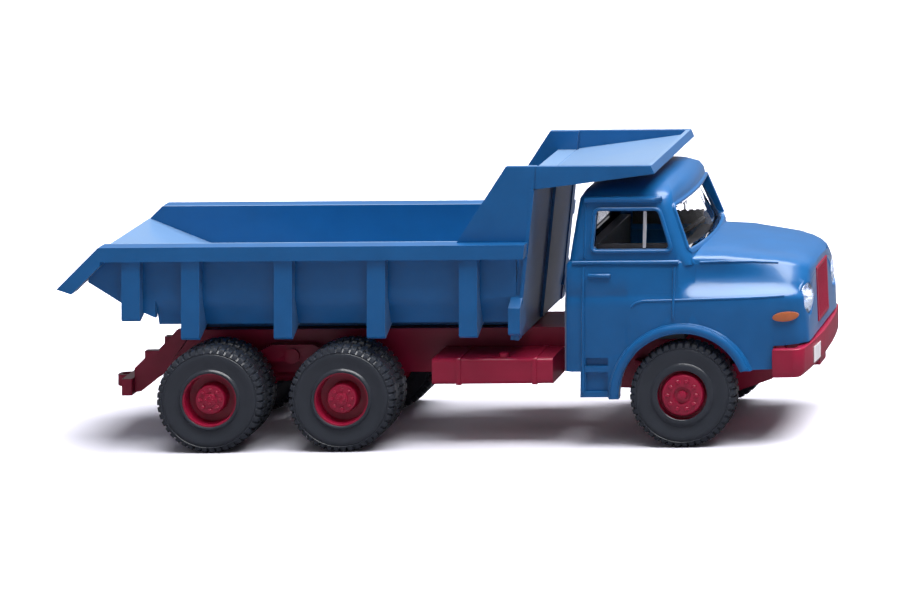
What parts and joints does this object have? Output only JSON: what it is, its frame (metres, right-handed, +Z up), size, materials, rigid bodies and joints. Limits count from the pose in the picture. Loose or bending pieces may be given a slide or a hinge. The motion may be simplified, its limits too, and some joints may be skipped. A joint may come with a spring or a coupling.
{
  "type": "1:87 scale model dump truck",
  "caption": "Moulded plastic scale model of a short-nosed heavy dump truck with a ribbed tipping rock bed, a cab canopy, rolling wheelsets and a hollow glazed cab.",
  "frame": {"origin": "on the ground under the middle of the model's outer box", "axes": "+X forward along the truck, +Y to the truck's left, +Z up"},
  "size_m": [0.0886, 0.0286, 0.0336],
  "materials": {
    "blue_plastic": "moulded satin gloss",
    "red_plastic": "moulded satin gloss",
    "tyre_plastic": "moulded matte",
    "grey_plastic": "moulded matte",
    "clear_plastic": "clear moulded plastic",
    "white_plastic": "printed white",
    "amber_plastic": "printed amber",
    "pin_steel": "drawn wire"
  },
  "bodies": {
    "chassis": {"chassis_frame": "red_plastic", "rear_crossbeam": "red_plastic", "rear_bogie": "red_plastic", "front_suspension": "red_plastic", "fuel_tank": "red_plastic", "battery_box": "red_plastic", "front_bumper": "red_plastic", "front_plate": "white_plastic", "grille": "red_plastic", "headlamps": "clear_plastic", "indicators": "amber_plastic", "cab_shell": "blue_plastic", "cab_glazing": "clear_plastic", "cab_interior": "grey_plastic", "steering_wheel": "grey_plastic", "tip_hinge_pin": "pin_steel"},
    "bed": {"bed_tub": "blue_plastic", "bed_canopy": "blue_plastic", "bed_runners": "blue_plastic"},
    "front_wheelset": {"front_axle_pin": "pin_steel", "front_rim_right": "red_plastic", "front_rim_left": "red_plastic", "front_tyre_right": "tyre_plastic", "front_tyre_left": "tyre_plastic"},
    "middle_wheelset": {"middle_axle_pin": "pin_steel", "middle_rim_right": "red_plastic", "middle_rim_left": "red_plastic", "middle_tyres_right": "tyre_plastic", "middle_tyres_left": "tyre_plastic"},
    "rear_wheelset": {"rear_axle_pin": "pin_steel", "rear_rim_right": "red_plastic", "rear_rim_left": "red_plastic", "rear_tyres_right": "tyre_plastic", "rear_tyres_left": "tyre_plastic"}
  },
  "joints": [
    {"name": "bed_tip", "type": "hinge", "parent": "chassis", "child": "bed", "pos_m": [-0.031, 0, 0.0132], "axis": [0, -1, 0], "range_deg": [0, 50]},
    {"name": "front_wheels_spin", "type": "hinge", "parent": "chassis", "child": "front_wheelset", "pos_m": [0.0291, 0, 0.0063], "axis": [0, 1, 0], "continuous": true},
    {"name": "middle_wheels_spin", "type": "hinge", "parent": "chassis", "child": "middle_wheelset", "pos_m": [-0.011, 0, 0.0063], "axis": [0, 1, 0], "continuous": true},
    {"name": "rear_wheels_spin", "type": "hinge", "parent": "chassis", "child": "rear_wheelset", "pos_m": [-0.0265, 0, 0.0063], "axis": [0, 1, 0], "continuous": true}
  ]
}
